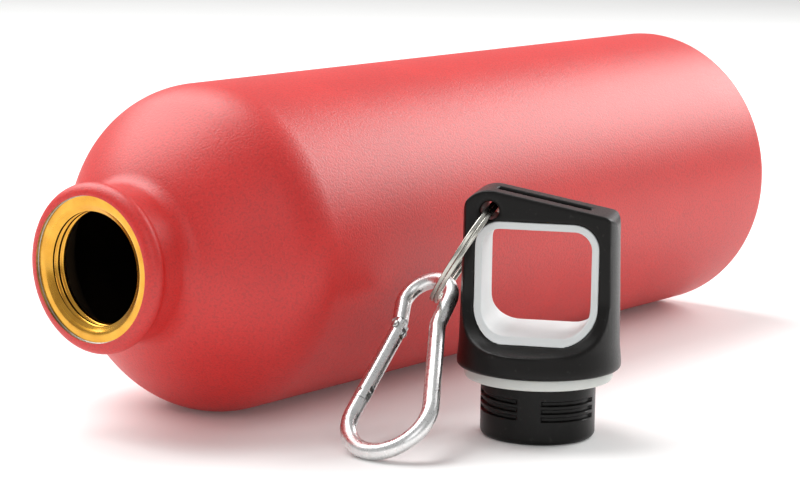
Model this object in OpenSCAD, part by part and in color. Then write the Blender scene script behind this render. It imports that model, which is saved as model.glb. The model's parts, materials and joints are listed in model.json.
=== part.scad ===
// Canteen: an aluminium drinking bottle lying on its side, and its screw cap standing in front of it.
// The cap carries a split ring and a small carabiner with a spring gate.
// Millimetres. Z is up and the floor is z = 0. The bottle's axis runs along X, with the mouth at the low end.
// The origin is the middle of the footprint of the whole set.

/* [Bottle] */
// Length from the mouth rim to the base
bottle_length = 221.4; // [150:0.1:300]
// Outside diameter of the body
bottle_diameter = 73; // [60:0.1:90]
// Wall thickness
wall = 0.9; // [0.6:0.05:2]
// Distance from the mouth rim to where the shoulder reaches full diameter
shoulder_end = 38.3; // [30:0.1:60]
// Radial size of the rounding from shoulder to body
rounding_width = 16.5; // [8:0.1:18]
// Axial size of the rounding from shoulder to body
rounding_length = 17.7; // [8:0.1:25]
// Radius where the shoulder leaves the hollow curve behind the neck
shoulder_foot = 19.2; // [18.2:0.1:22]
// How strongly the shoulder bulges between that foot and the rounding
shoulder_bulge = 0.0233; // [0:0.0001:0.04]
// Outside radius of the neck behind the rim bead
neck_radius = 17; // [15:0.1:20]
// Radius of the base's edge rounding
base_corner = 4; // [1:0.5:8]

/* [Mouth] */
// Outside radius of the rim bead
bead_radius = 18.3; // [17:0.05:20]
// Radius of the bead's own section
bead_section = 2.4; // [1:0.05:3]
// Radius to the crests of the mouth thread
mouth_crest = 12.2; // [10:0.05:15]
// Depth of the thread grooves
thread_depth = 0.65; // [0.3:0.05:1.2]
// Thread pitch
thread_pitch = 1.7; // [1:0.1:4]
// Number of grooves in the mouth
mouth_grooves = 2; // [2:1:6]
// Radius of the bare step inside the rim bead
step_radius = 15.65; // [14:0.05:17]
// Depth of the step, down to the collar's face
step_depth = 0.7; // [0.2:0.05:2]

/* [Cap placing] */
// Distance from the mouth rim's plane to the cap's axis
cap_from_mouth = 67.26; // [0:0.01:200]
// Distance from the bottle's axis to the cap's axis
cap_from_axis = 68.53; // [55:0.01:120]
// Turn of the cap about its own axis, from the handle facing square to the bottle
cap_angle = -64.94; // [-180:0.01:180]

/* [Cap] */
// Radius of the threaded plug
plug_radius = 12.4; // [10:0.05:14]
// Height of the plug below the gasket
plug_height = 12.5; // [8:0.05:20]
// Radius to the bottom of the plug's thread grooves
plug_root = 11.75; // [9:0.05:13]
// Radius of the gasket
gasket_radius = 16; // [14:0.05:18]
// Thickness of the gasket
gasket_thickness = 2.6; // [1:0.05:4]
// Radius of the skirt
skirt_radius = 17.67; // [16:0.05:20]
// Radius of the handle where it stands on the skirt
handle_root_radius = 17.3; // [15:0.05:20]
// Half width of the handle near its top
handle_top_radius = 16.8; // [14:0.05:20]
// Thickness of the handle
handle_thickness = 13; // [8:0.1:18]
// Height of the handle's top face above the floor at its high end
handle_high = 53.4; // [45:0.1:60]
// Height of the handle's top face above the floor at its low end
handle_low = 48.5; // [42:0.1:60]
// Radius of the hollow that carries the handle's faces out to the skirt
flare_radius = 11.2; // [4:0.1:14]
// Height where the flare begins
flare_height = 31.2; // [25:0.1:40]

/* [Handle window] */
// Half width of the window in the black moulding
window_half_width = 13.35; // [10:0.05:15]
// Height of the window's lower edge
window_bottom = 21.4; // [18:0.05:26]
// Height of the window's upper edge
window_top = 46.9; // [40:0.05:50]
// Radius of the window's upper corners
window_corner_top = 5.5; // [2:0.1:8]
// Radius of the window's lower corners
window_corner_bottom = 7.5; // [2:0.1:10]
// Wall of the grip liner
liner_wall = 1.6; // [0.8:0.05:3]

/* [Handle details] */
// Distance of the ring hole from the cap's axis
hole_offset = 10.4; // [8:0.05:13]
// Height of the ring hole
hole_height = 49; // [45:0.05:52]
// Radius of the ring hole
hole_radius = 2; // [1.5:0.05:3]
// Length of the pocket along the top face
pocket_length = 20.5; // [10:0.5:24]
// Width of the pocket
pocket_width = 3.6; // [2:0.1:6]
// Depth of the pocket
pocket_depth = 1.9; // [1:0.1:4]

/* [Split ring] */
// Outside radius of the split ring
ring_outer = 13; // [10:0.05:15]
// Inside radius of the split ring
ring_inner = 11.9; // [8:0.05:14]
// Thickness of one coil
ring_coil = 0.92; // [0.5:0.02:1.5]
// Gap between the two coils
ring_gap = 0.04; // [0:0.01:0.3]
// Angle at which the ring hangs out from the handle
ring_hang = 31; // [20:0.1:60]

/* [Carabiner] */
// Diameter of the wire
wire = 3.6; // [2:0.1:6]
// Centreline radius of the small end
small_radius = 5.7; // [4:0.05:8]
// Centreline radius of the large end
large_radius = 9.45; // [7:0.05:14]
// Distance between the centres of the two ends
end_spacing = 32.1; // [25:0.1:50]
// Distance of the waist from the small end's centre
waist_at = 7.6; // [6:0.05:12]
// Lean of the sides between the small end and the waist
waist_lean = 8; // [4:0.5:15]
// Length of the gate from its hinge pin to its free end
gate_length = 19.8; // [15:0.1:24]

/* [Hidden] */
$fn = 96;
origin_x = -bottle_length / 2;
origin_y = (cap_from_axis + skirt_radius - bottle_diameter / 2) / 2;
body_radius = bottle_diameter / 2;
mouth_root = mouth_crest + thread_depth;
gasket_bottom = plug_height;
skirt_bottom = gasket_bottom + gasket_thickness;
half_slab = handle_thickness / 2;
// where the carabiner lies, from the cap's foot: place of the small end's centre, and its turn
carabiner_place = [-24.574, -1.313, 28.057];
carabiner_turn = [39.564, -11.23, -14.65];
wire_r = wire / 2;

// ---------- placing ----------
module on_bottle() {
    translate([origin_x, origin_y, body_radius])
    rotate([0, 90, 0])
    children();
}

module on_cap() {
    translate([origin_x + cap_from_mouth, origin_y - cap_from_axis, 0])
    rotate([0, 0, cap_angle])
    children();
}

// ---------- bottle ----------
// Profiles are [radius, distance from the mouth rim]. t is the depth below the outer skin.
// The rounding is an ellipse down to rounding_stop degrees, then the shoulder runs on in a flatter bulge
// to its foot, where a hollow curve takes it to the neck.
rounding_stop = 50;
stop_radius = body_radius - rounding_width * (1 - sin(rounding_stop));
stop_depth = shoulder_end - rounding_length * cos(rounding_stop);
stop_slope = rounding_length / rounding_width * tan(rounding_stop);
foot_drop = stop_radius - shoulder_foot;
foot_slope = stop_slope - 2 * shoulder_bulge * foot_drop;
foot_depth = stop_depth - stop_slope * foot_drop + shoulder_bulge * foot_drop * foot_drop;
fillet_turn = atan(1 / foot_slope);
fillet_radius = (shoulder_foot - neck_radius) / (1 - cos(fillet_turn));
fillet_depth = foot_depth - fillet_radius * sin(fillet_turn);
function fillet_point(b, t) = [
    neck_radius + fillet_radius - (fillet_radius + t) * cos(b),
    fillet_depth + (fillet_radius + t) * sin(b)
];
function off_slope(r, d, slope, t) = [
    r - t * slope / sqrt(1 + slope * slope),
    d + t / sqrt(1 + slope * slope)
];
// f runs from 0 at the foot to 1 at the rounding
function bulge_point(f, t) = let (x = foot_drop * (1 - f)) off_slope(
    stop_radius - x,
    stop_depth - stop_slope * x + shoulder_bulge * x * x,
    stop_slope - 2 * shoulder_bulge * x,
    t
);
function rounding_point(a, t) = off_slope(
    body_radius - rounding_width * (1 - sin(a)),
    shoulder_end - rounding_length * cos(a),
    rounding_length / rounding_width * tan(a),
    t
);

function corner_point(c, t) = [
    body_radius - base_corner + (base_corner - t) * cos(c),
    bottle_length - base_corner + (base_corner - t) * sin(c)
];

function outer_profile() = [
    for (i = [0 : 4]) fillet_point(i / 5 * fillet_turn, 0),
    for (i = [0 : 7]) bulge_point(i / 8, 0),
    for (a = [rounding_stop : 5 : 85]) rounding_point(a, 0),
    [body_radius, shoulder_end],
    for (c = [0 : 10 : 90]) corner_point(c, 0),
    [26, bottle_length],
    [23, bottle_length - 2.2],
    [0, bottle_length - 3]
];

function inner_profile() = [
    [0, bottle_length - 3 - wall],
    [23.4, bottle_length - 2.2 - wall],
    [26.4, bottle_length - wall],
    for (c = [90 : -10 : 0]) corner_point(c, wall),
    [body_radius - wall, shoulder_end],
    for (a = [85 : -5 : rounding_stop]) rounding_point(a, wall),
    for (i = [7 : -1 : 0]) bulge_point(i / 8, wall),
    for (i = [4 : -1 : 0]) fillet_point(i / 5 * fillet_turn, wall)
];

// thick threaded collar inside the neck, with a lead-in at the mouth
function collar_profile() = [
    [neck_radius - wall, 9.4],
    [mouth_root + 0.8, 6.1],
    [mouth_crest, 5.4],
    [mouth_crest, 1.6],
    [mouth_root + 0.1, 1.2],
    [mouth_root + 0.75, step_depth - 0.1],
    [bead_radius - bead_section, step_depth - 0.1],
    [bead_radius - bead_section + 0.6, 1],
    [neck_radius, 3]
];

module bottle_section() {
    polygon(concat(outer_profile(), inner_profile(), collar_profile()));
    // rolled bead round the rim
    translate([bead_radius - bead_section, bead_section])
    circle(r = bead_section);
}

module bottle_shell() {
    color([0.87, 0.35, 0.33])
    on_bottle()
    difference() {
        rotate_extrude()
        bottle_section();
        // bare step that leaves the collar's face lower than the rim
        translate([0, 0, -1])
        cylinder(r = step_radius, h = 1 + step_depth);
        // thread grooves inside the mouth
        for (i = [0 : mouth_grooves - 1])
            translate([0, 0, 1.95 + i * thread_pitch])
            rotate_extrude()
            polygon([
                [mouth_crest - 1, -0.2],
                [mouth_crest - 1, thread_pitch * 0.7 + 0.2],
                [mouth_crest, thread_pitch * 0.7],
                [mouth_root, thread_pitch * 0.5],
                [mouth_root, thread_pitch * 0.2],
                [mouth_crest, 0]
            ]);
    }
}

// ---------- cap ----------
module rounded_window(half_w, low, high, r_low, r_high) {
    // flat window outline, x across and y up
    translate([-half_w, low + r_low])
    square([2 * half_w, high - low - r_low - r_high]);
    translate([-half_w + r_low, low])
    square([2 * (half_w - r_low), r_low + 0.01]);
    translate([-half_w + r_high, high - r_high - 0.01])
    square([2 * (half_w - r_high), r_high + 0.01]);
    for (s = [-1, 1]) {
        translate([s * (half_w - r_low), low + r_low])
        circle(r = r_low);
        translate([s * (half_w - r_high), high - r_high])
        circle(r = r_high);
    }
}

module across_handle(depth) {
    // stands a flat outline up in the handle's plane and gives it thickness
    translate([0, depth / 2, 0])
    rotate([90, 0, 0])
    linear_extrude(height = depth)
    children();
}

module handle_faces() {
    // everything in front of and behind the handle
    for (s = [0, 180])
        rotate([0, 0, s]) {
            translate([-30, half_slab, flare_height])
            cube([60, 30, 60]);
            translate([-30, half_slab + flare_radius, flare_height])
            rotate([0, 90, 0])
            cylinder(r = flare_radius, h = 60);
        }
}

// centres of the handle's two upper corners, and the slope of the top face between them
function corner_high() = [-handle_top_radius + 6.15, handle_high - 6];
function corner_low() = [handle_top_radius - 3.15, handle_low - 2.6];
function top_slope() =
    atan2(corner_high()[1] - corner_low()[1], corner_low()[0] - corner_high()[0])
    + asin(3 / norm(corner_low() - corner_high()));
function top_at(u) = corner_high()[1] + 6 / cos(top_slope()) - (u - corner_high()[0]) * tan(top_slope());

module handle_outline() {
    // side view of cap and handle, with its slanting top
    slope = top_slope();
    translate(corner_high())
    circle(r = 6);
    translate(corner_low())
    circle(r = 3);
    polygon([
        [-25, skirt_bottom - 1],
        [25, skirt_bottom - 1],
        [25, 38],
        [handle_top_radius + 0.2, 41],
        corner_low() + [3, 0],
        corner_low() + 3 * [sin(slope), cos(slope)],
        corner_high() + 6 * [sin(slope), cos(slope)],
        corner_high() - [6, 0],
        [-handle_top_radius - 0.2, 41],
        [-25, 38]
    ]);
}

module handle_solid() {
    intersection() {
        rotate_extrude()
        polygon([
            [0, skirt_bottom],
            [skirt_radius - 0.5, skirt_bottom],
            [skirt_radius, skirt_bottom + 0.5],
            [skirt_radius, skirt_bottom + 1.6],
            [handle_root_radius, 20.5],
            [handle_top_radius, 44],
            [handle_top_radius, 60],
            [0, 60]
        ]);
        across_handle(60)
        handle_outline();
    }
}

module cap_shell() {
    color([0.15, 0.14, 0.13])
    on_cap()
    difference() {
        handle_solid();
        handle_faces();
        // window
        across_handle(60)
        rounded_window(window_half_width, window_bottom, window_top, window_corner_bottom, window_corner_top);
        // ring hole with eased edges
        translate([-hole_offset, 20, hole_height])
        rotate([90, 0, 0])
        cylinder(r = hole_radius, h = 40);
        for (s = [0, 180])
            translate([-hole_offset, 0, hole_height])
            rotate([90, 0, s])
            translate([0, 0, half_slab - 0.6])
            cylinder(r1 = hole_radius, r2 = hole_radius + 0.7, h = 0.7);
        // pocket in the slanting top
        translate([0.5, 0, top_at(0.5)])
        rotate([0, top_slope(), 0])
        translate([-pocket_length / 2, -pocket_width / 2, -pocket_depth])
        cube([pocket_length, pocket_width, pocket_depth + 3]);
        // seat for the gasket
        translate([0, 0, skirt_bottom - 1])
        cylinder(r = plug_radius - 1.5, h = 1.95);
    }
}

module grip_liner() {
    color([0.87, 0.87, 0.85])
    on_cap()
    difference() {
        intersection() {
            rotate_extrude()
            polygon([
                [0, skirt_bottom],
                [handle_root_radius - 0.1, skirt_bottom],
                [handle_root_radius - 0.1, 20.5],
                [handle_top_radius - 0.1, 44],
                [handle_top_radius - 0.1, 60],
                [0, 60]
            ]);
            across_handle(60)
            rounded_window(
                window_half_width - 0.02,
                window_bottom + 0.02,
                window_top - 0.02,
                window_corner_bottom - 0.02,
                window_corner_top - 0.02
            );
        }
        // the liner's faces follow the handle's faces
        handle_faces();
        across_handle(60)
        rounded_window(
            window_half_width - liner_wall,
            window_bottom + liner_wall,
            window_top - liner_wall,
            window_corner_bottom - liner_wall,
            window_corner_top - liner_wall
        );
    }
}

module gasket() {
    color([0.86, 0.86, 0.82])
    on_cap()
    rotate_extrude()
    polygon([
        [plug_radius - 1.3, gasket_bottom + 0.05],
        [gasket_radius - 0.9, gasket_bottom + 0.05],
        [gasket_radius - 0.25, gasket_bottom + 0.35],
        [gasket_radius, gasket_bottom + 0.95],
        [gasket_radius, skirt_bottom - 0.05],
        [plug_radius - 1.3, skirt_bottom - 0.05]
    ]);
}

module thread_plug() {
    color([0.13, 0.12, 0.11])
    on_cap()
    difference() {
        rotate_extrude()
        polygon([
            [0, 1],
            [plug_radius - 3, 1],
            [plug_radius - 2.6, 0],
            [plug_radius - 1.2, 0],
            [plug_radius - 0.35, 0.35],
            [plug_radius, 1.2],
            [plug_radius, gasket_bottom],
            [plug_radius - 1.5, gasket_bottom],
            [plug_radius - 1.5, skirt_bottom + 0.9],
            [0, skirt_bottom + 0.9]
        ]);
        // three thread grooves, left plain on four strips, at the front, back and sides
        difference() {
            for (i = [0 : 2])
                translate([0, 0, 5.8 + i * thread_pitch])
                rotate_extrude()
                polygon([
                    [plug_root, -0.25],
                    [plug_radius, -0.5],
                    [plug_radius + 1, -0.5],
                    [plug_radius + 1, 0.5],
                    [plug_radius, 0.5],
                    [plug_root, 0.25]
                ]);
            translate([-2.7, -20, 0])
            cube([5.4, 40, 14]);
            translate([-20, -2.7, 0])
            cube([40, 5.4, 14]);
        }
    }
}

// ---------- split ring ----------
// Flat wire wound twice round. The two coils lie side by side, with one short step from coil to coil.
// The ring hangs from the ring hole, in a plane that holds the hole's axis.
ring_centre_drop = ring_outer - 1.4;

module at_hole() {
    on_cap()
    translate([-hole_offset, 0, hole_height])
    rotate([0, ring_hang, 0])
    children();
}

function coil_side(t) =
    t < 340 ? -1 :
    t > 380 ? 1 :
    -cos((t - 340) * 4.5);

function coil_corners(t) = [
    for (c = [[ring_inner, -1], [ring_outer, -1], [ring_outer, 1], [ring_inner, 1]])
        [
            c[0] * cos(t),
            c[0] * sin(t),
            coil_side(t) * (ring_coil + ring_gap) / 2 + c[1] * ring_coil / 2
        ]
];

module wound_ring() {
    steps = 136;
    start = 20;
    turn = 5;
    points = [for (i = [0 : steps]) each coil_corners(start + i * turn)];
    sides = [
        for (i = [0 : steps - 1])
            for (k = [0 : 3])
                [
                    4 * i + k,
                    4 * i + (k + 1) % 4,
                    4 * i + 4 + (k + 1) % 4,
                    4 * i + 4 + k
                ]
    ];
    ends = [
        [3, 2, 1, 0],
        [4 * steps, 4 * steps + 1, 4 * steps + 2, 4 * steps + 3]
    ];
    polyhedron(points = points, faces = concat(sides, ends));
}

module split_ring() {
    color([0.78, 0.78, 0.76])
    at_hole()
    translate([0, 0, -ring_centre_drop])
    rotate([0, 90, 0])
    rotate([0, 0, 90])
    wound_ring();
}

// ---------- carabiner ----------
// Its own frame has the small end's centre at the origin, the large end towards -Y,
// the spine on the +X side and the gate on the -X side.
function waist_x() =
    small_radius * cos(waist_lean)
    - (waist_at - small_radius * sin(waist_lean)) * tan(waist_lean);
waist_gap = end_spacing - waist_at;
side_lean =
    asin(large_radius / norm([waist_x(), waist_gap]))
    - atan2(waist_x(), waist_gap);
side_length = sqrt(pow(norm([waist_x(), waist_gap]), 2) - pow(large_radius, 2));
lean_length = (waist_at - small_radius * sin(waist_lean)) / cos(waist_lean);
slot_half = 0.75;
tongue_half = 0.65;
hinge_pin_r = 0.6;
latch_pin_r = 0.5;
latch_at = gate_length - 1.7;

module at_carabiner() {
    on_cap()
    translate(carabiner_place)
    rotate(carabiner_turn)
    children();
}

module at_gate() {
    // origin on the hinge pin, the gate runs along -Y
    at_carabiner()
    gate_line()
    children();
}

module gate_line() {
    translate([-waist_x(), -waist_at, 0])
    rotate([0, 0, -side_lean])
    children();
}

module rod(length) {
    // round bar from the origin along -Y
    rotate([90, 0, 0])
    cylinder(r = wire_r - 0.01, h = length);
}

module plate(half_width, from, to, half) {
    // flat tongue about z = 0, running along -Y
    translate([-half_width, -to, -half])
    cube([2 * half_width, to - from, 2 * half]);
}

module bent_wire() {
    // small end
    rotate([0, 0, -waist_lean])
    rotate_extrude(angle = 180 + 2 * waist_lean)
    translate([small_radius, 0])
    circle(r = wire_r, $fn = 32);
    // short leans from the small end to the waist, on both sides
    for (s = [-1, 1])
        translate([s * small_radius * cos(waist_lean), -small_radius * sin(waist_lean), 0])
        rotate([0, 0, -s * waist_lean])
        translate([0, 0.05, 0])
        rod(lean_length + 0.05);
    // spine, from the waist to the large end
    translate([waist_x(), -waist_at, 0]) {
        sphere(r = wire_r);
        rotate([0, 0, side_lean])
        rod(side_length + 0.05);
    }
    // large end
    translate([0, -end_spacing, 0])
    rotate([0, 0, 180 - side_lean])
    rotate_extrude(angle = 180 + 2 * side_lean)
    translate([large_radius, 0])
    circle(r = wire_r, $fn = 32);
    // stub that meets the gate's free end
    gate_line()
    translate([0, -gate_length - 0.15, 0])
    rod(side_length - gate_length - 0.1);
}

module carabiner_frame() {
    color([0.8, 0.8, 0.79])
    at_carabiner()
    difference() {
        union() {
            difference() {
                bent_wire();
                // hollow shoulder that the gate's rounded end turns in
                translate([-waist_x(), -waist_at, -3])
                cylinder(r = 2.05, h = 6);
            }
            // tongue that carries the hinge pin
            intersection() {
                union() {
                    translate([-waist_x(), -waist_at, -tongue_half])
                    cylinder(r = 1.45, h = 2 * tongue_half);
                    translate([-waist_x(), -waist_at, 0])
                    rotate([0, 0, waist_lean])
                    translate([0, 3, 0])
                    plate(1.45, 0, 3, tongue_half);
                }
                translate([-waist_x(), -waist_at, -tongue_half])
                cylinder(r = 3, h = 2 * tongue_half);
            }
            // tongue that enters the gate's free end
            gate_line()
            plate(1.45, gate_length - 2.9, gate_length + 0.6, tongue_half);
        }
        translate([-waist_x(), -waist_at, -3])
        cylinder(r = hinge_pin_r + 0.01, h = 6);
        // hook that holds the latch pin, open to the inside of the carabiner
        gate_line() {
            translate([0, -latch_at, -2])
            cylinder(r = latch_pin_r + 0.12, h = 4);
            translate([0, -latch_at - latch_pin_r - 0.12, -2])
            cube([3, 2 * latch_pin_r + 0.24, 4]);
        }
    }
}

module gate() {
    color([0.8, 0.8, 0.79])
    at_gate()
    difference() {
        union() {
            intersection() {
                translate([0, wire_r, 0])
                rod(wire_r + 0.01);
                translate([0, 0, -3])
                cylinder(r = wire_r, h = 6);
            }
            rod(gate_length);
        }
        // fork at the hinge end and slot at the free end
        plate(3, -3, 2.6, slot_half);
        plate(3, gate_length - 3.5, gate_length + 1, slot_half);
        // spring bore
        translate([0, -1.5, 0])
        rotate([90, 0, 0])
        cylinder(r = 1.05, h = 8, $fn = 32);
        translate([0, 0, -3])
        cylinder(r = hinge_pin_r + 0.06, h = 6);
        translate([0, -latch_at, -3])
        cylinder(r = latch_pin_r + 0.01, h = 6);
        // seam where the gate's sheet meets
        translate([-0.1, 1 - gate_length + 2.6, 1.45])
        cube([0.2, gate_length - 6, 1]);
    }
}

module gate_hinge_pin() {
    color([0.72, 0.72, 0.7])
    at_gate() {
        translate([0, 0, -2])
        cylinder(r = hinge_pin_r, h = 4);
        for (s = [0, 180])
            rotate([s, 0, 0])
            translate([0, 0, wire_r + 0.06])
            intersection() {
                translate([0, 0, -0.45])
                sphere(r = 1.05, $fn = 32);
                cylinder(r = 2, h = 2);
            }
    }
}

module gate_latch_pin() {
    color([0.72, 0.72, 0.7])
    at_gate()
    translate([0, -latch_at, -1.7])
    cylinder(r = latch_pin_r, h = 3.4);
}

// spring inside the gate, from its blind end to the plunger
spring_from = 9.4;
spring_to = 4.6;
spring_turns = 6;
spring_r = 0.68;
spring_wire = 0.13;

module gate_spring() {
    steps = spring_turns * 16;
    points = [
        for (i = [0 : steps])
            for (k = [0 : 5])
                [
                    (spring_r + spring_wire * cos(60 * k)) * cos(i * 22.5),
                    -spring_to - (spring_from - spring_to) * i / steps
                    + spring_wire * sin(60 * k),
                    (spring_r + spring_wire * cos(60 * k)) * sin(i * 22.5)
                ]
    ];
    sides = [
        for (i = [0 : steps - 1])
            for (k = [0 : 5])
                [
                    6 * i + k,
                    6 * i + 6 + k,
                    6 * i + 6 + (k + 1) % 6,
                    6 * i + (k + 1) % 6
                ]
    ];
    ends = [
        [0, 1, 2, 3, 4, 5],
        [for (k = [5 : -1 : 0]) 6 * steps + k]
    ];
    color([0.6, 0.6, 0.6])
    at_gate()
    polyhedron(points = points, faces = concat(sides, ends));
}

module spring_plunger() {
    // rounded slug that presses on the end of the hinge tongue
    color([0.7, 0.62, 0.4])
    at_gate()
    translate([0, -1.62, 0])
    rotate([90, 0, 0])
    intersection() {
        cylinder(r = 1, h = 2.75, $fn = 32);
        translate([0, 0, 2])
        sphere(r = 2.1, $fn = 48);
    }
}

bottle_shell();
cap_shell();
grip_liner();
thread_plug();
gasket();
split_ring();
carabiner_frame();
gate();
gate_hinge_pin();
gate_latch_pin();
gate_spring();
spring_plunger();
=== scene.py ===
import json
import math

import bmesh
import bpy
import numpy as np
from mathutils import Matrix, Vector


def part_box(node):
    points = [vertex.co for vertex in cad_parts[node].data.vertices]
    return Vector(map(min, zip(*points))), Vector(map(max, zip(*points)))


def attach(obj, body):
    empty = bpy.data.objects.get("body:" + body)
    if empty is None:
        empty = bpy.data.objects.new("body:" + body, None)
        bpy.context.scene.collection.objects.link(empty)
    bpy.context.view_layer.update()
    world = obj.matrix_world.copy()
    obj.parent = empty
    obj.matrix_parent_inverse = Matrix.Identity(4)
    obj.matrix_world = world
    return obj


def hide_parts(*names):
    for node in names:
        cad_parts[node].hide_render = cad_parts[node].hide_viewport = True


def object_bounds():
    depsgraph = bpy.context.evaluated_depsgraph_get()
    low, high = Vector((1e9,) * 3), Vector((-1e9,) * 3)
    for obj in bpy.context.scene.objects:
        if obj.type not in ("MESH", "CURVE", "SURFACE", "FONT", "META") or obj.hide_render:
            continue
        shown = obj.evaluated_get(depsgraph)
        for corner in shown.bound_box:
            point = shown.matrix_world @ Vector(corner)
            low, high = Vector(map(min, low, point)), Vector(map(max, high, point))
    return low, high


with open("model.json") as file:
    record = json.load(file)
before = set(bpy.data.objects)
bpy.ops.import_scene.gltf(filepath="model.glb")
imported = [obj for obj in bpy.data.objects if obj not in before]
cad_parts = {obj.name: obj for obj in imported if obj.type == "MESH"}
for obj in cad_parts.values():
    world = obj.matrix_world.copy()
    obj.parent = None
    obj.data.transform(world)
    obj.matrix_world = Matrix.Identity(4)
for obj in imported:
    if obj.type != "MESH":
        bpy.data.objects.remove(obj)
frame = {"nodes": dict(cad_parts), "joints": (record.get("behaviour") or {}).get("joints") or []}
cad_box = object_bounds()
MM = 0.001
JOINTS = {j["name"]: j for j in frame["joints"]}


# ---------- small helpers ----------
def lin(r, g, b):
    """sRGB 0-255 to a linear colour."""
    out = []
    for c in (r, g, b):
        c /= 255.0
        out.append(c / 12.92 if c <= 0.04045 else ((c + 0.055) / 1.055) ** 2.4)
    return (*out, 1.0)


def new_mesh(name, verts, faces, mats=(), index=None, sharp=40):
    mesh = bpy.data.meshes.new(name)
    mesh.from_pydata([tuple(v) for v in verts], [], [tuple(f) for f in faces])
    for m in mats:
        mesh.materials.append(m)
    if index is not None:
        mesh.polygons.foreach_set("material_index", index)
    mesh.polygons.foreach_set("use_smooth", [True] * len(mesh.polygons))
    mesh.update()
    mesh.set_sharp_from_angle(angle=math.radians(sharp))
    obj = bpy.data.objects.new(name, mesh)
    bpy.context.scene.collection.objects.link(obj)
    return obj


def outward(obj):
    """Turns every face of a closed mesh to face out."""
    bm = bmesh.new()
    bm.from_mesh(obj.data)
    bmesh.ops.recalc_face_normals(bm, faces=bm.faces)
    bm.to_mesh(obj.data)
    bm.free()
    return obj


def lathe(name, rings, segs, place, mats, ring_mat, radius=None, sharp=40):
    """Turns a closed profile about a line.

    rings is [(along, radius)], and place(along, radius, angle) gives the point.
    radius(i, angle) may change the radius of ring i."""
    verts, faces, index = [], [], []
    n = len(rings)
    for i, (s, r) in enumerate(rings):
        for k in range(segs):
            a = 2 * math.pi * k / segs
            rr = r if radius is None else radius(i, s, r, a)
            verts.append(place(s, rr, a))
    for i in range(n - 1):
        for k in range(segs):
            k2 = (k + 1) % segs
            faces.append((i * segs + k, i * segs + k2, (i + 1) * segs + k2, (i + 1) * segs + k))
            index.append(ring_mat[i])
    return outward(new_mesh(name, verts, faces, mats, index, sharp))


def sweep(name, path, section, mats, closed=False, frames=None, sharp=40):
    """Sweeps a closed section (a, b) along a path, with frames[i] = (A, B) unit vectors."""
    verts, faces = [], []
    m = len(section)
    for p, (A, B) in zip(path, frames):
        for a, b in section:
            verts.append(p + A * a + B * b)
    steps = len(path) if closed else len(path) - 1
    for i in range(steps):
        j = (i + 1) % len(path)
        for k in range(m):
            k2 = (k + 1) % m
            faces.append((i * m + k, i * m + k2, j * m + k2, j * m + k))
    if not closed:
        faces.append(tuple(range(m)))
        faces.append(tuple((len(path) - 1) * m + k for k in reversed(range(m))))
    return outward(new_mesh(name, verts, faces, mats, sharp=sharp))


# ---------- materials ----------
def material(name):
    m = bpy.data.materials.new(name)
    m.use_nodes = True
    nt = m.node_tree
    bsdf = next(n for n in nt.nodes if n.type == "BSDF_PRINCIPLED")
    return m, nt, bsdf


def noise(nt, scale, detail=3.0, rough=0.5, distortion=0.0):
    tc = nt.nodes.new("ShaderNodeTexCoord")
    n = nt.nodes.new("ShaderNodeTexNoise")
    n.inputs["Scale"].default_value = scale
    n.inputs["Detail"].default_value = detail
    n.inputs["Roughness"].default_value = rough
    n.inputs["Distortion"].default_value = distortion
    nt.links.new(tc.outputs["Object"], n.inputs["Vector"])
    return n


def remap(nt, src, lo, hi, low, high):
    r = nt.nodes.new("ShaderNodeMapRange")
    r.inputs["From Min"].default_value = lo
    r.inputs["From Max"].default_value = hi
    r.inputs["To Min"].default_value = low
    r.inputs["To Max"].default_value = high
    nt.links.new(src, r.inputs["Value"])
    return r.outputs["Result"]


def mix_colour(nt, fac, a, b):
    m = nt.nodes.new("ShaderNodeMix")
    m.data_type = "RGBA"
    nt.links.new(fac, m.inputs["Factor"])
    m.inputs["A"].default_value = a
    m.inputs["B"].default_value = b
    return m.outputs["Result"]


def bump(nt, bsdf, src, distance, strength=1.0, before=None):
    b = nt.nodes.new("ShaderNodeBump")
    b.inputs["Distance"].default_value = distance
    b.inputs["Strength"].default_value = strength
    nt.links.new(src, b.inputs["Height"])
    if before is not None:
        nt.links.new(before, b.inputs["Normal"])
    nt.links.new(b.outputs["Normal"], bsdf.inputs["Normal"])
    return b.outputs["Normal"]


def powder_coat():
    m, nt, s = material("powder_coat_red")
    grain = noise(nt, 2400, 2.0, 0.6)
    cloud = noise(nt, 55, 3.0, 0.55)
    speck = noise(nt, 1900, 1.0, 0.5)
    patches = remap(nt, cloud.outputs["Fac"], 0.35, 0.65, 0.0, 1.0)
    base = mix_colour(nt, patches, lin(198, 19, 15), lin(206, 25, 20))
    pit = nt.nodes.new("ShaderNodeMix")
    pit.data_type = "RGBA"
    nt.links.new(remap(nt, speck.outputs["Fac"], 0.36, 0.50, 0.36, 0.0), pit.inputs["Factor"])
    nt.links.new(base, pit.inputs["A"])
    pit.inputs["B"].default_value = lin(152, 18, 17)
    tip = nt.nodes.new("ShaderNodeMix")
    tip.data_type = "RGBA"
    nt.links.new(remap(nt, grain.outputs["Fac"], 0.54, 0.68, 0.0, 0.24), tip.inputs["Factor"])
    nt.links.new(pit.outputs["Result"], tip.inputs["A"])
    tip.inputs["B"].default_value = lin(230, 66, 56)
    nt.links.new(tip.outputs["Result"], s.inputs["Base Color"])
    nt.links.new(remap(nt, grain.outputs["Fac"], 0.3, 0.7, 0.40, 0.50), s.inputs["Roughness"])
    s.inputs["Specular IOR Level"].default_value = 0.72
    n1 = bump(nt, s, grain.outputs["Fac"], 0.00007, 0.6)
    bump(nt, s, speck.outputs["Fac"], 0.0001, 0.45, n1)
    return m


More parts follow.
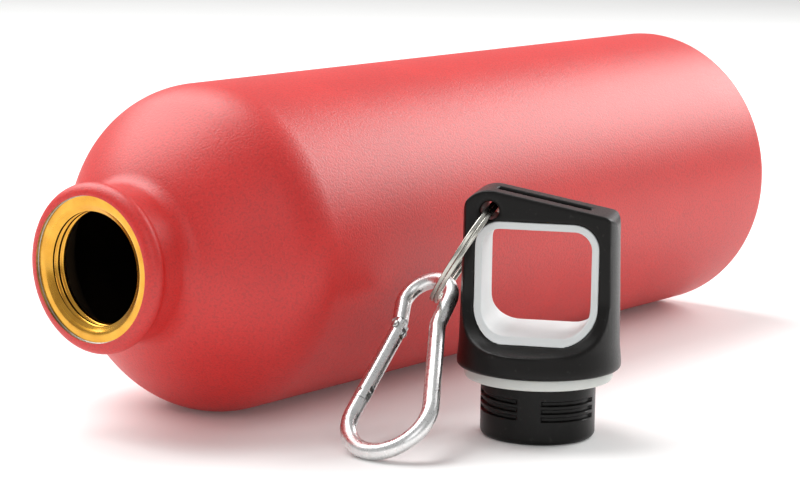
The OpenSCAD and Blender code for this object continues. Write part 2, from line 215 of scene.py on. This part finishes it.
def gold_lacquer():
    m, nt, s = material("gold_lacquer")
    tc = nt.nodes.new("ShaderNodeTexCoord")
    mp = nt.nodes.new("ShaderNodeMapping")
    mp.inputs["Scale"].default_value = (2600, 60, 60)
    nt.links.new(tc.outputs["Object"], mp.inputs["Vector"])
    turned = nt.nodes.new("ShaderNodeTexNoise")
    turned.inputs["Scale"].default_value = 1.0
    turned.inputs["Detail"].default_value = 2.0
    nt.links.new(mp.outputs["Vector"], turned.inputs["Vector"])
    tone = noise(nt, 240, 2.0)
    patches = remap(nt, tone.outputs["Fac"], 0.3, 0.7, 0.0, 1.0)
    col = mix_colour(nt, patches, lin(212, 160, 54), lin(230, 184, 78))
    nt.links.new(col, s.inputs["Base Color"])
    s.inputs["Metallic"].default_value = 1.0
    nt.links.new(remap(nt, turned.outputs["Fac"], 0.3, 0.7, 0.16, 0.30), s.inputs["Roughness"])
    s.inputs["Coat Weight"].default_value = 0.5
    s.inputs["Coat Roughness"].default_value = 0.08
    s.inputs["Coat Tint"].default_value = lin(255, 224, 150)
    bump(nt, s, turned.outputs["Fac"], 0.00003, 0.5)
    return m


def inner_lacquer_painted_shade():
    # painted shade: the inside's gold lacquer is coloured dark brown to stand in for the shade deep in the
    # bottle
    m, nt, s = material("inner_lacquer_painted_shade")
    tone = noise(nt, 90, 3.0)
    col = mix_colour(nt, remap(nt, tone.outputs["Fac"], 0.3, 0.7, 0.0, 1.0), lin(58, 44, 26), lin(40, 31, 20))
    nt.links.new(col, s.inputs["Base Color"])
    s.inputs["Metallic"].default_value = 0.3
    s.inputs["Roughness"].default_value = 0.7
    bump(nt, s, tone.outputs["Fac"], 0.0002, 0.3)
    return m


def bare_edge():
    m, nt, s = material("bare_edge")
    n = noise(nt, 1500, 2.0)
    col = mix_colour(nt, n.outputs["Fac"], lin(120, 118, 112), lin(196, 194, 188))
    nt.links.new(col, s.inputs["Base Color"])
    s.inputs["Metallic"].default_value = 1.0
    s.inputs["Roughness"].default_value = 0.34
    bump(nt, s, n.outputs["Fac"], 0.00005, 0.6)
    return m


def black_plastic(name, dark, light, rough):
    m, nt, s = material(name)
    grain = noise(nt, 3200, 2.0, 0.6)
    flow = noise(nt, 60, 3.0, 0.5, 0.4)
    dust = noise(nt, 900, 1.0)
    base = nt.nodes.new("ShaderNodeMix")
    base.data_type = "RGBA"
    nt.links.new(remap(nt, dust.outputs["Fac"], 0.68, 0.78, 0.0, 0.25), base.inputs["Factor"])
    nt.links.new(mix_colour(nt, flow.outputs["Fac"], dark, light), base.inputs["A"])
    base.inputs["B"].default_value = lin(62, 60, 57)
    nt.links.new(base.outputs["Result"], s.inputs["Base Color"])
    nt.links.new(remap(nt, grain.outputs["Fac"], 0.3, 0.7, rough - 0.05, rough + 0.07), s.inputs["Roughness"])
    s.inputs["Specular IOR Level"].default_value = 0.2
    bump(nt, s, grain.outputs["Fac"], 0.00005, 0.5)
    return m


def soft_white(name, a, b, rough, subsurface):
    m, nt, s = material(name)
    cloud = noise(nt, 70, 3.0)
    grain = noise(nt, 2400, 2.0)
    patches = remap(nt, cloud.outputs["Fac"], 0.3, 0.7, 0.0, 1.0)
    nt.links.new(mix_colour(nt, patches, a, b), s.inputs["Base Color"])
    nt.links.new(remap(nt, grain.outputs["Fac"], 0.3, 0.7, rough - 0.05, rough + 0.08), s.inputs["Roughness"])
    s.inputs["Subsurface Weight"].default_value = subsurface
    s.inputs["Subsurface Radius"].default_value = (0.0012, 0.0011, 0.0009)
    s.inputs["Subsurface Scale"].default_value = 1.0
    bump(nt, s, grain.outputs["Fac"], 0.00004, 0.4)
    return m


def bright_metal(name, a, b, rough, scratch):
    m, nt, s = material(name)
    tone = noise(nt, 160, 3.0, 0.6, 0.5)
    fine = noise(nt, 1100, 3.0, 0.65, 1.2)
    patches = remap(nt, tone.outputs["Fac"], 0.35, 0.65, 0.0, 1.0)
    nt.links.new(mix_colour(nt, patches, a, b), s.inputs["Base Color"])
    s.inputs["Metallic"].default_value = 1.0
    nt.links.new(remap(nt, fine.outputs["Fac"], 0.3, 0.75, rough, rough + 0.14), s.inputs["Roughness"])
    n1 = bump(nt, s, tone.outputs["Fac"], 0.00003, 0.25)
    bump(nt, s, fine.outputs["Fac"], 0.000006, scratch, n1)
    return m


RED = powder_coat()
GOLD = gold_lacquer()
INNER_SHADE = inner_lacquer_painted_shade()
BARE = bare_edge()
CAP = black_plastic("cap_plastic", lin(13, 12, 11), lin(20, 18, 17), 0.34)
PLUG = black_plastic("plug_plastic", lin(12, 11, 10), lin(18, 17, 16), 0.34)
LINER = soft_white("liner_rubber", lin(208, 211, 211), lin(217, 220, 220), 0.5, 0.15)
GASKET = soft_white("gasket_silicone", lin(202, 204, 200), lin(212, 214, 210), 0.45, 0.3)
ALU = bright_metal("carabiner_aluminium", lin(226, 226, 226), lin(240, 240, 239), 0.24, 0.35)
STEEL = bright_metal("ring_steel", lin(186, 184, 176), lin(214, 212, 204), 0.16, 0.5)
PIN = bright_metal("pin_steel", lin(170, 170, 168), lin(205, 205, 202), 0.22, 0.5)

# ---------- bottle ----------
lo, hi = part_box("bottle_shell")
mouth_x = lo.x
length = (hi.x - lo.x) / MM
body_r = (hi.z - lo.z) / 2 / MM
axis_y, axis_z = (lo.y + hi.y) / 2, (lo.z + hi.z) / 2
WALL = 0.9


def bottle_place(s, r, a):
    return Vector((mouth_x + s * MM, axis_y + r * MM * math.cos(a), axis_z + r * MM * math.sin(a)))


def arc(cx, cr, rx, rr, a0, a1, n):
    """Points (along, radius) on an ellipse arc, angles in degrees from the +along direction."""
    pts = []
    for i in range(n + 1):
        a = math.radians(a0 + (a1 - a0) * i / n)
        pts.append((cx + rx * math.cos(a), cr + rr * math.sin(a)))
    return pts


NECK, SH1 = 17.0, 38.3
BASE_CORNER = 4
BEAD, BSEC = 18.3, 2.4
CREST, DEPTH, PITCH = 12.2, 0.65, 1.7
STEP_R, STEP_D = 15.65, 0.7
RW, RL, STOP, FOOT, BULGE = 16.5, 17.7, math.radians(50), 19.2, 0.0233
stop_r, stop_d = body_r - RW * (1 - math.sin(STOP)), SH1 - RL * math.cos(STOP)
stop_m = RL / RW * math.tan(STOP)
foot_x = stop_r - FOOT
foot_m = stop_m - 2 * BULGE * foot_x
foot_d = stop_d - stop_m * foot_x + BULGE * foot_x ** 2
turn_in = math.atan(1 / foot_m)
hollow = (FOOT - NECK) / (1 - math.cos(turn_in))
hollow_d = foot_d - hollow * math.sin(turn_in)
rings, mats = [], []


def add(points, mat):
    for p in points:
        rings.append(p)
        mats.append(mat)


def off(d, r, m, t):
    """Point t mm inside the skin, where the skin's slope is m (along per radius)."""
    k = math.sqrt(1 + m * m)
    return (d + t / k, r - t * m / k)


def shoulder(t, n1, n2, n3):
    """(along, radius) from the neck to the body, t mm inside the skin."""
    out = []
    for i in range(1, n1):
        b = turn_in * i / n1
        out.append((hollow_d + (hollow + t) * math.sin(b), NECK + hollow - (hollow + t) * math.cos(b)))
    for i in range(n2):
        x = foot_x * (1 - i / n2)
        out.append(off(stop_d - stop_m * x + BULGE * x * x, stop_r - x, stop_m - 2 * BULGE * x, t))
    for i in range(n3):
        a = STOP + (math.pi / 2 - STOP) * i / n3
        out.append(off(SH1 - RL * math.cos(a), body_r - RW * (1 - math.sin(a)), RL / RW * math.tan(a), t))
    out.append((SH1, body_r - t))
    return out


def base_corner(angle, t):
    """A point of the base's round corner, t mm inside the skin, angle 0 at the base and 90 at the side."""
    size = BASE_CORNER - t
    return (length - BASE_CORNER + size * math.cos(angle), body_r - BASE_CORNER + size * math.sin(angle))


E = 0.02
# red skin, from the bead's inner lip round the bead, along the neck, shoulder, body and base
lip = math.degrees(math.acos((STEP_R + E - BEAD + BSEC) / (BSEC - E)))
add([(0.62, STEP_R + E)], 3)
add([(0.3, STEP_R + E)], 3)
add(arc(BSEC, BEAD - BSEC, BSEC - E, BSEC - E, 90 + lip, 92, 12), 0)
add(arc(BSEC, BEAD - BSEC, BSEC - E, BSEC - E, 88, 32, 10), 0)
# hollow between the bead and the neck
add([(4.72, 17.06), (5.3, 16.98), (6.5, 16.97), (8.2, 16.97), (hollow_d, 16.97)], 0)
add(shoulder(E + 0.02, 12, 26, 30), 0)
add([(SH1 + (length - BASE_CORNER - SH1) * i / 10, body_r - E) for i in range(1, 11)], 0)
add([base_corner(math.radians(90 - c), E) for c in range(9, 91, 9)], 0)
dish = [(E, 29.0), (E, 26.4), (0.25, 25.7), (1.9, 23.6), (2.3, 22.6), (2.7, 12), (3.02, 0.02)]
add([(length - d, r) for d, r in dish], 0)
# inside, back to the mouth, in the gold lacquer darkened to brown as painted shade
dish_inside = [(3 - E, 0.02), (2.2, 23.3), (0, 26.5), (0, 32.5)]
add([(length - WALL - d, r) for d, r in dish_inside], 2)
add([base_corner(math.radians(c), WALL) for c in range(0, 91, 15)], 2)
add(list(reversed(shoulder(WALL, 5, 10, 8))), 2)
add([(hollow_d, NECK - WALL), (9.4, NECK - WALL), (6.1, CREST + DEPTH + 0.82)], 2)
add([(5.42, CREST + 0.02)], 1)
first_thread = len(rings)
add([(5.4 - 0.05 * i, CREST + 0.02) for i in range(1, 76)], 1)
last_thread = len(rings)
add([(1.56, CREST + 0.04), (1.2, CREST + DEPTH + 0.12), (1.08, 13.15), (0.8, 13.6), (0.74, 13.9)], 1)
add([(STEP_D + E, 14.4), (STEP_D + E, 15.2), (STEP_D + E, STEP_R - 0.12)], 1)


def thread(i, s, r, a):
    """Helical groove on the crest cylinder of the mouth, fading out at both ends."""
    if not first_thread <= i < last_thread:
        return r
    turn = (s / PITCH - a / (2 * math.pi)) % 1.0
    g = max(0.0, 1.0 - abs(turn - 0.5) / 0.36)
    g = g * g * (3 - 2 * g)
    fade = min(1.0, max(0.0, (5.4 - s) / 0.5)) * min(1.0, max(0.0, (s - 1.6) / 0.3))
    return r + (DEPTH - 0.04) * g * fade


rings.append(rings[0])
mats.append(0)
# where two finishes meet, the lacquer (1) and the bare edge (3) run on to the next ring
ring_mat = [here if here in (1, 3) else after for here, after in zip(mats, mats[1:])]
ring_mat[-1] = 3
bottle = lathe("bottle", rings, 288, bottle_place, [RED, GOLD, INNER_SHADE, BARE], ring_mat, thread, sharp=35)
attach(bottle, "bottle")
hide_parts("bottle_shell")


# ---------- remeshed copies of moulded CAD nodes ----------
def moulded(node, name, mat, voxel, smooth, body):
    src = frame["nodes"][node]
    obj = src.copy()
    obj.data = src.data.copy()
    obj.name = name
    bpy.context.scene.collection.objects.link(obj)
    obj.parent = None
    obj.data.materials.clear()
    obj.data.materials.append(mat)
    mod = obj.modifiers.new("weld", "WELD")
    mod.merge_threshold = 0.00001
    mod = obj.modifiers.new("remesh", "REMESH")
    mod.mode = "VOXEL"
    mod.voxel_size = voxel
    mod = obj.modifiers.new("smooth", "SMOOTH")
    mod.factor = 0.5
    mod.iterations = smooth
    dg = bpy.context.evaluated_depsgraph_get()
    mesh = bpy.data.meshes.new_from_object(obj.evaluated_get(dg))
    mesh.name = name
    obj.modifiers.clear()
    obj.data = mesh
    mesh.polygons.foreach_set("use_smooth", [True] * len(mesh.polygons))
    mesh.update()
    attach(obj, body)
    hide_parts(node)
    return obj


cap = moulded("cap_shell", "cap", CAP, 0.00028, 9, "cap")
liner = moulded("grip_liner", "liner", LINER, 0.00022, 6, "cap")

# ---------- plug and gasket ----------
glo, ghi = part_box("gasket")
cap_x, cap_y = (glo.x + ghi.x) / 2, (glo.y + ghi.y) / 2
gasket_r = (ghi.x - glo.x) / 2 / MM
gasket_z0, gasket_z1 = glo.z / MM, ghi.z / MM
plo, phi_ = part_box("thread_plug")
plug_r = (phi_.x - plo.x) / 2 / MM


def cap_place(s, r, a):
    return Vector((cap_x + r * MM * math.cos(a), cap_y + r * MM * math.sin(a), s * MM))


bore = plug_r - 1.28
grs = [(gasket_z0 + 0.02, bore), (gasket_z0 + 0.02, 13.0), (gasket_z0 + 0.02, gasket_r - 1.1)]
grs += arc(gasket_z0 + 0.75, gasket_r - 0.75, 0.73, 0.73, 180, 90, 8)
grs += arc(gasket_z1 - 0.35, gasket_r - 0.37, 0.33, 0.35, 90, 0, 5)
grs += [(gasket_z1 - 0.02, 13.0), (gasket_z1 - 0.02, bore), (gasket_z0 + 0.02, bore)]
gasket = lathe("gasket_ring", grs, 160, cap_place, [GASKET], [0] * (len(grs) - 1), sharp=50)
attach(gasket, "gasket")
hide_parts("gasket")

front = math.atan2(JOINTS["ring_swing"]["axis"][1], JOINTS["ring_swing"]["axis"][0]) + math.pi
prs = [(10.0, 0.02), (10.0, plug_r - 2.7), (0.3, plug_r - 2.45), (0.02, plug_r - 2.2), (0.02, plug_r - 1.25)]
prs += arc(1.2, plug_r - 1.2, 1.18, 1.18, 180, 90, 8)
p_first = len(prs)
prs += [(1.3 + 0.08 * i, plug_r - 0.02) for i in range(138)]
p_last = len(prs)
prs += [(12.42, plug_r - 0.1), (12.5, plug_r - 0.3)]
prs += [(12.5, plug_r - 1.52), (16.0, plug_r - 1.52), (16.0, 0.02)]


def plug_thread(i, s, r, a):
    if not p_first <= i < p_last:
        return r
    d = (a - front + math.pi) % (2 * math.pi) - math.pi
    gap = abs((d + math.pi / 4) % (math.pi / 2) - math.pi / 4) * plug_r
    mask = min(1.0, max(0.0, (gap - 2.6) / 0.35))
    turn = (s - 5.8) / PITCH + d / (2 * math.pi)
    near = abs(turn - round(turn)) * PITCH
    g = min(1.0, max(0.0, (0.56 - near) / 0.26))
    span = 1.0 if -0.45 < turn < 2.45 else 0.0
    return r - 0.62 * g * mask * span


plug = lathe("plug", prs, 288, cap_place, [PLUG], [0] * (len(prs) - 1), plug_thread, sharp=30)
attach(plug, "cap")
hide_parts("thread_plug")

# ---------- split ring ----------
hole = Vector(JOINTS["ring_swing"]["pos_m"])
out_axis = Vector(JOINTS["ring_swing"]["axis"]).normalized()
rlo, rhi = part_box("split_ring")
ring_c = (rlo + rhi) / 2
drop = (ring_c - hole)
drop -= out_axis * drop.dot(out_axis)
drop.normalize()
RO, RI, COIL, RGAP = 13.0, 11.9, 0.92, 0.04
centre = hole + drop * (RO - 1.4) * MM


def rounded(a, b, r, n=4):
    """Corners of a rounded rectangle, half sizes a and b."""
    pts = []
    for sx, sy, start in ((1, 1, 0), (-1, 1, 90), (-1, -1, 180), (1, -1, 270)):
        for i in range(n + 1):
            t = math.radians(start + 90 * i / n)
            pts.append((sx * (a - r) + r * math.cos(t), sy * (b - r) + r * math.sin(t)))
    return pts


side = drop.cross(out_axis).normalized()
path, axes = [], []
for i in range(341):
    t = 20 + 2 * i
    lay = -1.0 if t < 340 else 1.0 if t > 380 else -math.cos(math.radians((t - 340) * 4.5))
    a = math.radians(t)
    e = out_axis * math.cos(a) - drop * math.sin(a)
    path.append(centre + e * ((RO + RI) / 2 * MM) + side * (lay * (COIL + RGAP) / 2 * MM))
    axes.append((e, side))
ring_section = [(a * MM, b * MM) for a, b in rounded((RO - RI) / 2 - 0.01, COIL / 2 - 0.01, 0.22)]
ring = sweep("ring", path, ring_section, [STEEL], frames=axes, sharp=50)
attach(ring, "split_ring")
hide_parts("split_ring")

# ---------- carabiner ----------
WIRE, SMALL, LARGE, SPAN, WAIST, LEAN = 1.8, 5.7, 9.45, 32.1, 7.6, math.radians(8)


def mid(node):
    a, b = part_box(node)
    return (a + b) / 2


pin_at = mid("gate_hinge_pin")
nn = Vector(JOINTS["gate_open"]["axis"]).normalized()
gate_dir = mid("gate_latch_pin") - pin_at
gate_dir -= nn * gate_dir.dot(nn)
gate_dir.normalize()
waist_x = SMALL * math.cos(LEAN) - (WAIST - SMALL * math.sin(LEAN)) * math.tan(LEAN)
reach = math.hypot(waist_x, SPAN - WAIST)
flare = math.asin(LARGE / reach) - math.atan2(waist_x, SPAN - WAIST)
run = math.sqrt(reach ** 2 - LARGE ** 2)
gx = (-gate_dir).cross(nn).normalized()
gy = -gate_dir
cx = gx * math.cos(flare) + gy * math.sin(flare)
cy = gy * math.cos(flare) - gx * math.sin(flare)
small_c = pin_at + (cx * waist_x + cy * WAIST) * MM


def in_plane(x, y):
    return small_c + (cx * x + cy * y) * MM


# centreline from the hinge nose, round the small end, down the spine,
# round the large end, to the gate's free end
line = []
sx, sy = SMALL * math.cos(LEAN), -SMALL * math.sin(LEAN)
for i in range(11):
    f = 1 - i / 10
    line.append((-sx + (sx - waist_x) * f * 0.72, sy + (-WAIST - sy) * f * 0.72))
for i in range(1, 60):
    a = math.radians(180 + 8 - (196) * i / 60)
    line.append((SMALL * math.cos(a), SMALL * math.sin(a)))
for i in range(1, 16):
    f = i / 15
    line.append((sx + (waist_x - sx) * f, sy + (-WAIST - sy) * f))
bx, by = LARGE * math.cos(flare), -SPAN + LARGE * math.sin(flare)
for i in range(1, 41):
    f = i / 40
    line.append((waist_x + (bx - waist_x) * f, -WAIST + (by + WAIST) * f))
for i in range(1, 90):
    a = flare - (math.pi + 2 * flare) * i / 89
    line.append((LARGE * math.cos(a), -SPAN + LARGE * math.sin(a)))
end = 1 - 19.95 / run
for i in range(1, 9):
    f = end * i / 8
    line.append((-bx + (bx - waist_x) * f, by + (-WAIST - by) * f))
pts = np.array(line)
for _ in range(3):  # eases the bend at the waist
    inner = (pts[:-2] + 2 * pts[1:-1] + pts[2:]) / 4
    keep = np.abs(np.linalg.norm(pts[1:-1] - np.array([waist_x, -WAIST]), axis=1)) < 3.0
    pts[1:-1][keep] = inner[keep]
path, axes = [], []
for i, (x, y) in enumerate(pts):
    d = pts[min(i + 1, len(pts) - 1)] - pts[max(i - 1, 0)]
    d /= np.linalg.norm(d)
    path.append(in_plane(x, y))
    axes.append(((cx * -d[1] + cy * d[0]).normalized(), nn))
turns = [2 * math.pi * k / 40 for k in range(40)]
circle = [((WIRE - 0.015) * math.cos(a) * MM, (WIRE - 0.015) * math.sin(a) * MM) for a in turns]
wire = sweep("carabiner_wire", path, circle, [ALU], frames=axes, sharp=50)
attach(wire, "carabiner")


def prism(name, outline, half, origin, ax, ay, mats, bevel=0.12):
    """Flat plate from an outline in mm, half thick each way along nn, with small bevels."""
    n = len(outline)
    verts = [origin + (ax * x + ay * y) * MM + nn * (z * MM) for z in (-half, half) for x, y in outline]
    faces = [tuple(range(n)), tuple(range(2 * n - 1, n - 1, -1))]
    faces += [(i, (i + 1) % n, n + (i + 1) % n, n + i) for i in range(n)]
    obj = outward(new_mesh(name, verts, faces, mats, sharp=30))
    mod = obj.modifiers.new("bevel", "BEVEL")
    mod.width = bevel * MM
    mod.segments = 2
    mod.limit_method = "ANGLE"
    return obj


# tongue under the hinge pin, and the hook that the gate's free end closes on
nose = []
for i in range(13):
    a = math.radians(180 + 180 * i / 12)
    nose.append((1.42 * math.cos(a), 1.42 * math.sin(a)))
nose += [(1.42, 2.9), (-1.42, 2.9)]
lean_x = gx * math.cos(flare + LEAN) + gy * math.sin(flare + LEAN)
lean_y = gy * math.cos(flare + LEAN) - gx * math.sin(flare + LEAN)
hinge_tongue = prism("hinge_tongue", nose, 0.64, pin_at, lean_x, lean_y, [ALU])
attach(hinge_tongue, "carabiner")
hook = [(-1.42, -20.3), (1.42, -20.3), (1.42, -18.72), (0.0, -18.72)]
for i in range(1, 8):
    a = math.radians(270 - 180 * i / 8)
    hook.append((0.62 * math.cos(a), -18.1 + 0.62 * math.sin(a)))
hook += [(0.0, -17.48), (1.42, -17.48), (1.42, -17.2), (1.1, -16.92), (-1.0, -16.92), (-1.42, -17.3)]
latch_hook = prism("latch_hook", hook, 0.64, pin_at, gx, gy, [ALU])
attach(latch_hook, "carabiner")
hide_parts("carabiner_frame")



def dressed(node, name, mat, body, bevel):
    """Copy of a CAD node with welded points, a small bevel on its edges and its own material."""
    src = frame["nodes"][node]
    obj = src.copy()
    obj.data = src.data.copy()
    obj.name = name
    bpy.context.scene.collection.objects.link(obj)
    obj.parent = None
    obj.data.transform(src.matrix_world)
    obj.matrix_world = Matrix()
    obj.data.materials.clear()
    obj.data.materials.append(mat)
    bm = bmesh.new()
    bm.from_mesh(obj.data)
    bmesh.ops.remove_doubles(bm, verts=bm.verts, dist=2e-6)
    bmesh.ops.dissolve_limit(bm, angle_limit=math.radians(0.5), verts=bm.verts, edges=bm.edges)
    bm.to_mesh(obj.data)
    bm.free()
    obj.data.polygons.foreach_set("use_smooth", [True] * len(obj.data.polygons))
    obj.data.set_sharp_from_angle(angle=math.radians(28))
    mod = obj.modifiers.new("bevel", "BEVEL")
    mod.width = bevel
    mod.segments = 2
    mod.limit_method = "ANGLE"
    mod.angle_limit = math.radians(40)
    mod.harden_normals = True
    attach(obj, body)
    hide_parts(node)
    return obj


gate = dressed("gate", "gate_tube", ALU, "gate", 0.00006)


def spun(name, outline, origin, mats, segs=40, sharp=35):
    """Small turned piece about the gate's pin direction. outline is [(height, radius)]."""
    def place(s, r, a):
        return origin + nn * (s * MM) + (gx * math.cos(a) + gy * math.sin(a)) * (r * MM)
    return lathe(name, outline, segs, place, mats, [0] * (len(outline) - 1), sharp=sharp)


dome_angles = [math.radians(b) for b in range(10, 91, 10)]
dome = [(1.8 + 0.08 + 0.58 * math.sin(b), 0.98 * math.cos(b) + 0.004) for b in dome_angles]
shank = [(-1.87, 0.98), (-1.87, 0.59), (1.87, 0.59), (1.87, 0.98)]
rivet = [(-s, r) for s, r in reversed(dome)] + shank + dome
hinge_pin = spun("rivet", rivet, pin_at, [PIN])
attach(hinge_pin, "carabiner")
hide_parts("gate_hinge_pin")
lp = [(-1.69, 0.004), (-1.69, 0.4), (-1.6, 0.49), (1.6, 0.49), (1.69, 0.4), (1.69, 0.004)]
latch_pin = spun("latch_pin", lp, mid("gate_latch_pin"), [PIN])
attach(latch_pin, "gate")
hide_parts("gate_latch_pin")

BRASS = bright_metal("plunger_brass", lin(196, 158, 84), lin(216, 178, 100), 0.22, 0.4)
for node, mat in (("gate_spring", PIN), ("spring_plunger", BRASS)):
    obj = frame["nodes"][node]
    obj.data.materials.clear()
    obj.data.materials.append(mat)

# ---------- floor, light, camera ----------
fm, fnt, fs = material("pale_floor")
fn = noise(fnt, 14, 3.0)
floor_colour = mix_colour(fnt, fn.outputs["Fac"], lin(240, 240, 239), lin(244, 244, 243))
fnt.links.new(floor_colour, fs.inputs["Base Color"])
fs.inputs["Roughness"].default_value = 0.75
fs.inputs["Emission Color"].default_value = (1.0, 1.0, 1.0, 1.0)
fs.inputs["Emission Strength"].default_value = 0.05
floor = new_mesh("floor", [(-6, -6, 0), (6, -6, 0), (6, 6, 0), (-6, 6, 0)], [(0, 1, 2, 3)], [fm])

world = bpy.data.worlds.new("studio")
bpy.context.scene.world = world
world.use_nodes = True
bg = world.node_tree.nodes["Background"]
bg.inputs["Color"].default_value = (1.0, 1.0, 1.0, 1.0)
bg.inputs["Strength"].default_value = 0.44

middle = (cad_box[0] + cad_box[1]) / 2


def softbox(name, offset, size_x, size_y, power, colour=(1, 1, 1)):
    data = bpy.data.lights.new(name, "AREA")
    data.shape = "RECTANGLE"
    data.size, data.size_y = size_x, size_y
    data.energy = power
    data.color = colour
    obj = bpy.data.objects.new(name, data)
    obj.location = middle + Vector(offset)
    obj.rotation_mode = "QUATERNION"
    obj.rotation_quaternion = (middle - obj.location).to_track_quat("-Z", "Y")
    bpy.context.scene.collection.objects.link(obj)
    return obj


softbox("right_box", (0.86, -0.22, 0.50), 0.75, 0.55, 7.6)
softbox("back_box", (-0.10, 0.64, 0.78), 1.05, 0.90, 12.0)
softbox("over_box", (0.0, 0.30, 1.0), 0.70, 0.40, 3.0)
softbox("front_fill", (-0.75, -0.85, 0.55), 0.70, 0.60, 1.6)

cam_data = bpy.data.cameras.new("camera")
cam_data.sensor_width = 36.0
cam_data.lens = 119.35
cam_data.clip_start, cam_data.clip_end = 0.02, 20.0
cam = bpy.data.objects.new("camera", cam_data)
yaw, pitch, roll = 0.6485, -0.1672, 0.0154
fw = Vector((math.cos(pitch) * math.cos(yaw), math.cos(pitch) * math.sin(yaw), math.sin(pitch)))
rt = fw.cross(Vector((0, 0, 1))).normalized()
up = rt.cross(fw)
rt2 = rt * math.cos(roll) + up * math.sin(roll)
up2 = up * math.cos(roll) - rt * math.sin(roll)
cam.matrix_world = Matrix((
    (rt2.x, up2.x, -fw.x, mouth_x - 0.396608),
    (rt2.y, up2.y, -fw.y, axis_y - 0.382106),
    (rt2.z, up2.z, -fw.z, 0.134686),
    (0, 0, 0, 1),
))
bpy.context.scene.collection.objects.link(cam)
bpy.context.scene.camera = cam
bpy.context.scene.view_settings.view_transform = "Standard"
